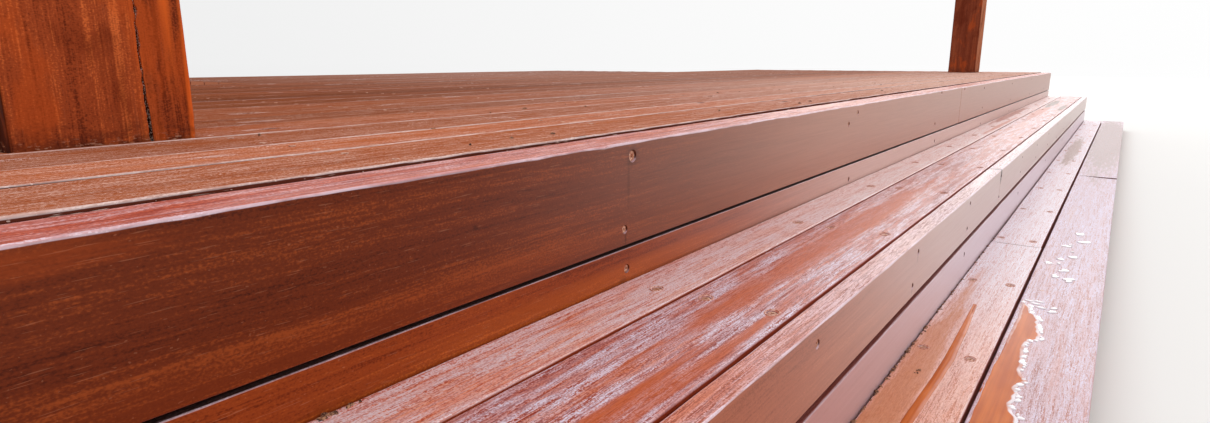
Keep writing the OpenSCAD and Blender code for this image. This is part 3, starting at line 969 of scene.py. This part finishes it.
def screw_places():
    """Every screw of the steps: the board that it holds, its kind, its place and the axes of its face."""
    places = []

    def grid(xs, others, *jitter):
        return jittered([(x, other) for x in xs for other in others], *jitter)

    def upright(name, kind, points):
        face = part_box(name)[0].y
        places.extend((name, kind, (x, face, z), FRONT) for x, z in points)

    beam_xs = [x for x in FRAME_XS if x > -0.2][::2]
    riser_xs = [x for x in FRAME_XS if x > -2.0]
    upright("deck_edge_beam", COACH, BEAM_COACH)
    upright("deck_edge_beam", SMALL, BEAM_SMALL + grid(beam_xs, (0.412, 0.322), 3))
    upright("upper_riser_board", SMALL, RISER_SMALL + grid(riser_xs, (0.229, 0.178), 4))
    upright("deck_kick_board", SMALL, grid(FRAME_XS[::2], (0.262, ), 5, 0.004))
    upright("lower_kick_board", SMALL, grid(FRAME_XS[::2], (0.118, ), 6, 0.004))
    for seed, (name, (kind, depths)) in enumerate(TREAD_SCREWS.items(), 7):
        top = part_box(name)[1].z
        points = grid(FRAME_XS, [FACE_Y + depth for depth in depths], seed)
        places.extend((name, kind, (x, y, top - TREAD_WORN), UP) for x, y in points)
    return places


def screw_metal():
    """Dull galvanised steel, browned where the oil and wet have reached it."""
    material, s = new_material("screw_metal")
    blotch = s.noise(s.place(), (260, 260, 260), 3.0, 0.6)
    s.surface(s.principled({
        "Base Color": s.mix(s.step(blotch, 0.36, 0.54), rgb(236, 194, 168), rgb(186, 120, 90)),
        "Metallic": 0.1, "Roughness": s.blend(blotch, 0.3, 0.6),
        "Normal": s.bump(s.noise(s.place(), (1400, 1400, 1400)), 0.3, 0.0002),
    }))
    return material


def plain_wood(name, dark, light):
    """Dull mottled wood, for crumbs and torn fibres."""
    material, s = new_material(name)
    mottle = s.noise(s.place(), (300, 300, 300), 3.0, 0.7)
    s.surface(s.principled({
        "Base Color": s.mix(s.step(mottle, 0.4, 0.62), dark, light), "Roughness": s.blend(mottle, 0.9, 0.6),
        "Normal": s.bump(mottle, 0.6, 0.0006),
    }))
    return material


# Raised wood round a screw: share of the hole's radius and height of each ring, and how far it is drawn out
BURR_ROWS = ((1.34, -0.0006), (1.26, 0.0004), (1.12, 0.0006), (1.03, -0.0006))
BURR_STRETCH = 0.25


def burrs(places):
    """Raised pale wood round the screws that pulled through the treads."""
    rng = np.random.default_rng(60)
    shapes = []
    for kind, centre in places:
        circles = [ring(centre, UP, kind.hole * share * rng.uniform(0.96, 1.04), height)
                   for share, height in BURR_ROWS]
        middle = centre[0]
        shapes.append([[(x + BURR_STRETCH * (x - middle), y, z) for x, y, z in circle]
                       for circle in circles])
    wood = plain_wood("raised_wood", rgb(188, 104, 78), rgb(244, 200, 184))
    small_things("raised_wood", shapes, wood, hoop)


def screws(made):
    """Screws in holes of their own along every step frame, and flush ones in the deck along its joists."""
    places = screw_places()
    holes = {}
    for name, kind, *spot in places:
        if kind is not FLUSH:
            holes.setdefault(name, []).append(drill(kind, *spot))
    for name, shapes in holes.items():
        cut_away(made[name], *gather(shapes))
    burrs([(kind, centre) for _, kind, centre, _ in places if kind is WORN])
    heads = [screw_head(kind, *spot) for _, kind, *spot in places]
    for row in range(1, DECK_ROWS + 1):
        low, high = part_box(f"deck_board_{row:02d}")
        points = [(x, y) for x in JOIST_XS for y in (low.y + SCREW_FROM_EDGE, high.y - SCREW_FROM_EDGE)]
        points = jittered(points, 50 + row, 0.003)
        heads += [screw_head(FLUSH, (x, y, high.z - DECK_WORN), UP) for x, y in points]
    small_things("screws", heads, screw_metal())


# Water lying on the bottom step: places along the steps with the depths of its outer and inner edge
PUDDLE = [
    (-1.762, -0.3895, -0.3885), (-1.79, -0.402, -0.389), (-1.826, -0.416, -0.3895),
    (-1.88, -0.424, -0.391), (-1.942, -0.435, -0.389), (-2.006, -0.427, -0.3895),
    (-2.087, -0.417, -0.3865), (-2.178, -0.433, -0.3855), (-2.262, -0.429, -0.385),
    (-2.311, -0.442, -0.3855), (-2.48, -0.436, -0.385), (-2.64, -0.446, -0.3855),
    (-2.8, -0.434, -0.385), (-2.96, -0.42, -0.3865), (-3.05, -0.4, -0.389),
]
STREAK = [
    (-1.838, -0.319, -0.3115), (-1.96, -0.3265, -0.3145), (-2.062, -0.331, -0.317),
    (-2.153, -0.3345, -0.3185), (-2.238, -0.333, -0.3185), (-2.311, -0.3315, -0.3165),
    (-2.376, -0.33, -0.315), (-2.6, -0.329, -0.315), (-2.85, -0.324, -0.319),
]

# Curled drops at the puddle's end, and loose drops beyond it: places and depths
CURLS = [(-1.752, -0.398), (-1.748, -0.414), (-1.766, -0.41), (-1.786, -0.42)]
DROPLETS = [
    (-1.434, -0.41), (-1.385, -0.428), (-1.511, -0.425), (-1.535, -0.459), (-1.149, -0.455),
    (-1.22, -0.436), (-1.47, -0.44), (-1.3, -0.446), (-1.06, -0.45), (-1.78, -0.44),
]

# Beads along the puddle's edge: share of places without one, where they end, sizes and height; then
# length, width, height and turn of a curled drop, and sizes and height of the two drops at each place
BEAD_GAPS = 0.2
BEADS_END = -2.95
BEAD_SIZES = (0.0025, 0.006)
BEAD_HEIGHT = 0.0014
CURL = (0.012, 0.005, 0.0018, 1.45)
DROPLET_SIZES = (0.011, 0.006)
DROPLET_HEIGHT = 0.0019


def wet_wood(name, dark, light, shine, smooth=(0.12, 0.28)):
    """Water over wood: a smooth skin with the wood's colour under it, painted white as a glint where its
    edge curls up.
    """
    material, s = new_material(name)
    place = s.place()
    streaks = s.noise(place, (4, 160, 160), 3.0, 0.6)
    cloud = s.noise(place, (9, 40, 40))
    colour = s.mix(s.step(s.plus(s.times(streaks, 0.5), s.times(cloud, 0.5)), 0.36, 0.64), dark, light)
    ripples = s.noise(place, (60, 90, 90))
    s.surface(s.principled({
        "Base Color": s.mix(s.attribute("painted_glint"), colour, rgb(252, 244, 250)),
        "Roughness": s.blend(streaks, *smooth), "Normal": s.bump(ripples, 0.15, 0.001),
        "Specular IOR Level": shine,
    }))
    return material


# How far in from a strip's edge each of its rows lies, how high, and how much painted glint whitens its
# curled edge;
# then the height of its underside, how deep all of it sits, and where its inner edge starts to curl
FILM_ROWS = ((0.0, -0.0004, 1.0), (0.0012, 0.0005, 1.0), (0.0046, 0.0007, 0.9), (0.0066, 0.0006, 0.0))
FILM_UNDER = -0.0012
FILM_SUNK = 0.0009
INNER_CURL_FROM = -2.1


def film(name, line, seed, jitter, scallop, glint_whiteness, material):
    """A strip of water with a scalloped outer edge that curls up, through places with both edges' depths."""
    at, outer, inner = np.array(line)[::-1].T
    places = np.arange(at[0], at[-1], 0.003)
    swell = np.clip(np.minimum(places - at[0], at[-1] - places) / 0.06, 0.05, 1)
    wave = jitter * (ripple(places, scallop, seed) + 0.5 * ripple(places, scallop * 0.4, seed + 1))
    low = np.interp(places, at, outer) + wave * swell
    high = np.interp(places, at, inner) + 0.25 * wave[::-1] * swell
    half = np.maximum(high - low, 0.0012) / 2
    rows = [(high - np.minimum(inset, half), height, painted_glint * 0.5) for inset, height, painted_glint in FILM_ROWS]
    rows += [(low + np.minimum(inset, half), height, painted_glint) for inset, height, painted_glint in reversed(FILM_ROWS)]
    rows += [(low + half * 0.5, FILM_UNDER, 0.0), (high - half * 0.5, FILM_UNDER, 0.0)]
    columns, heights, painted_glints = zip(*rows)
    y = np.stack(columns, axis=1) + FACE_Y
    z = np.tile(np.array(heights) + BOTTOM_Z - FILM_SUNK, (len(places), 1))
    thing = loft(name, [(places, y, z)])
    # The curled edges are painted white, patchy along the strip, as a glint of light
    patchy = held(0.75 + 0.5 * ripple(places, 0.02, seed + 2))[:, None]
    painted_glints = np.tile(painted_glints, (len(places), 1)) * patchy * glint_whiteness
    painted_glints[:, :len(FILM_ROWS)] *= held((places - INNER_CURL_FROM) / 0.15)[:, None]
    near_end = glint_whiteness * held(1 - (at[-1] - places) / 0.012)[:, None]
    mark(thing, "painted_glint", np.maximum(painted_glints, near_end).ravel())
    thing.data.materials.append(material)
    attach(thing, "root")
    return places, low


def dome(centre, length, width, height, turn, key):
    """A drop or a crumb: rings that narrow to its top, drawn out along a direction."""
    rings = []
    for level in (0.0, 0.55, 0.85, 0.97):
        shrink = math.sqrt(1 - level * level)
        circle = []
        for angle in TURNS:
            wobble = 1 + 0.12 * math.sin(2 * angle + key) + 0.08 * math.sin(3 * angle + 2 * key)
            a = length * shrink * wobble * math.cos(angle)
            b = width * shrink * wobble * math.sin(angle)
            circle.append((centre[0] + a * math.cos(turn) - b * math.sin(turn),
                           centre[1] + a * math.sin(turn) + b * math.cos(turn), centre[2] + height * level))
        rings.append(circle)
    return rings


def water():
    """A puddle on the bottom step with beads along its edge, and scattered drops beyond it."""
    skin = wet_wood("water_over_wood", rgb(198, 98, 40), rgb(222, 122, 58), 0.03)
    # The beads and drops are white all over: a painted glint of light on the water
    bead = wet_wood("water_beads", rgb(244, 240, 244), rgb(254, 252, 255), 0.6, (0.05, 0.12))
    places, edge = film("puddle", PUDDLE, 90, 0.005, 0.034, 1.0, skin)
    film("streak", STREAK, 95, 0.0004, 0.05, 0.15, skin)
    rng = np.random.default_rng(91)
    shapes = []
    for index in range(0, len(places), 3):
        if rng.uniform() < BEAD_GAPS or places[index] < BEADS_END:
            continue
        size = rng.uniform(*BEAD_SIZES)
        place = (places[index] + rng.uniform(-0.004, 0.004),
                 FACE_Y + edge[index] + rng.uniform(-0.003, 0.002), BOTTOM_Z - 0.001)
        long = size * rng.uniform(1.0, 2.2)
        shapes.append(dome(place, long, size, BEAD_HEIGHT, rng.uniform(-0.5, 0.5), index))
    level = BOTTOM_Z - 0.0008
    for x, depth in CURLS:
        shapes.append(dome((x, depth + FACE_Y, level), *CURL, x))
    for number, (x, depth) in enumerate(DROPLETS):
        for size in DROPLET_SIZES:
            place = (x + rng.uniform(-0.03, 0.03), depth + FACE_Y + rng.uniform(-0.009, 0.009), level)
            size = size * rng.uniform(0.7, 1.2)
            long = size * rng.uniform(1.0, 1.8)
            shapes.append(dome(place, long, size, DROPLET_HEIGHT, rng.uniform(-0.6, 0.6), number))
    beads = small_things("water_beads", shapes, bead)
    mark(beads, "painted_glint", [0.9] * len(beads.data.vertices))
    beads.data.polygons.foreach_set("use_smooth", [True] * len(beads.data.polygons))


# Crumbs of wood and dirt: middle place and depth, spread along and across, the board that they lie on,
# and their number
CRUMBS = [
    ((-3.028, -0.006), (0.008, 0.003), "upper_tread_rear_board", 14),
    ((-3.006, -0.006), (0.012, 0.002), "upper_tread_rear_board", 6),
    ((-2.45, -0.2655), (0.42, 0.0012), "bottom_tread_rear_board", 110),
    ((-1.8, -0.2655), (0.6, 0.0012), "bottom_tread_rear_board", 50),
    ((-2.033, -0.268), (0.04, 0.004), "bottom_tread_rear_board", 6),
    ((-2.227, -0.297), (0.01, 0.003), "bottom_tread_rear_board", 5),
    ((-1.9, 0.13), (1.0, 0.04), "deck_board_01", 8),
    ((-1.5, 0.4), (1.4, 0.15), "deck_board_02", 16),
]
CRUMB_SIZES = (0.0009, 0.0024)
CRUMB_HEIGHTS = (0.0018, 0.003)
CRUMB_SUNK = 0.0014


def crumbs():
    """Small dark crumbs that lie where boards meet, and a few on the treads and the deck."""
    rng = np.random.default_rng(77)
    shapes = []
    for (x, depth), (along, across), board, count in CRUMBS:
        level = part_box(board)[1].z - CRUMB_SUNK
        for number in range(count):
            place = (x + rng.uniform(-along, along), depth + FACE_Y + rng.uniform(-across, across), level)
            size = rng.uniform(*CRUMB_SIZES)
            long = size * rng.uniform(1.0, 2.4)
            height = rng.uniform(*CRUMB_HEIGHTS)
            shapes.append(dome(place, long, size, height, rng.uniform(0, 3.1), number))
    small_things("crumbs", shapes, plain_wood("crumbs", rgb(70, 34, 22), rgb(190, 138, 104)))


def looks(made):
    """Gives every node, or the piece that stands for it, its wood."""
    for seed, name in enumerate(sorted(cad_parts)):
        materials = made.get(name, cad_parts[name]).data.materials
        materials.clear()
        materials.append(timber(name, seed))


def camera():
    data = bpy.data.cameras.new("camera")
    data.sensor_width = SENSOR_MM
    data.lens = FOCAL_PX / PHOTO_W * SENSOR_MM
    data.clip_start = 0.01
    thing = link("camera", data)
    thing.location = (BEAM_LOW.x + CAMERA_FROM_LEFT_END, FACE_Y - CAMERA_IN_FRONT_OF_BEAM,
                      BEAM_HIGH.z + CAMERA_ABOVE_BEAM)
    thing.rotation_euler = (math.pi / 2 - PITCH, 0, YAW - math.pi / 2)
    bpy.context.scene.camera = thing


def studio_level(s, direction):
    """Brightness of the studio's walls in a direction: brightest beyond the right end of the steps."""
    x, y, z = s.split(direction)
    return s.plus(s.times(x, 0.13), s.times(y, -0.05), 0.86, s.times(s.most(z, 0.0), 0.06))


# Half the floor's side, and how far out it starts and ends to fade
FLOOR_HALF = 80.0
FADE_FROM = 5.0
FADE_TO = 26.0

# One broad lamp beyond the right end of the steps
LAMP_PLACE = (24, 1, 9)
LAMP_TARGET = (0, -0.8, 0.3)
LAMP_SIZE = (20, 10)
LAMP_POWER = 1900
WHITE = (1, 1, 1, 1)


def floor():
    """A pale floor that fades into the studio's walls far from the object."""
    corners = [(x * FLOOR_HALF, y * FLOOR_HALF, 0) for x, y in ((-1, -1), (1, -1), (1, 1), (-1, 1))]
    thing = new_object("floor", corners, [(0, 1, 2, 3)])
    material, s = new_material("floor")
    place = s.scaled(s.place(), 1, 1, 0)
    outward = s.add("VectorMath", {0: place}, operation="NORMALIZE")
    away = s.add("VectorMath", {0: place}, "Value", operation="LENGTH")
    near = s.principled({"Base Color": rgb(252, 251, 249), "Roughness": 0.9, "Specular IOR Level": 0.1})
    far = s.add("Emission", {"Color": WHITE, "Strength": studio_level(s, outward)})
    fade = s.step(away, FADE_FROM, FADE_TO)
    s.surface(s.add("MixShader", {0: fade, 1: near, 2: far}))
    thing.data.materials.append(material)


def lights():
    world = bpy.data.worlds.new("studio")
    bpy.context.scene.world = world
    world.use_nodes = True
    s = Shader(world.node_tree)
    direction = s.add("TexCoord", output="Generated")
    glow = s.add("Background", {"Color": WHITE, "Strength": studio_level(s, direction)})
    s.surface(glow, "OutputWorld")
    data = bpy.data.lights.new("key", "AREA")
    data.shape = "RECTANGLE"
    data.size, data.size_y = LAMP_SIZE
    data.energy = LAMP_POWER
    lamp = link("key", data)
    lamp.location = LAMP_PLACE
    lamp.rotation_euler = (Vector(LAMP_TARGET) - Vector(LAMP_PLACE)).to_track_quat("-Z", "Y").to_euler()


camera()
floor()
lights()
timbers = worn_timbers()
screws(timbers)
looks(timbers)
water()
crumbs()
bpy.context.scene.view_settings.view_transform = "Standard"
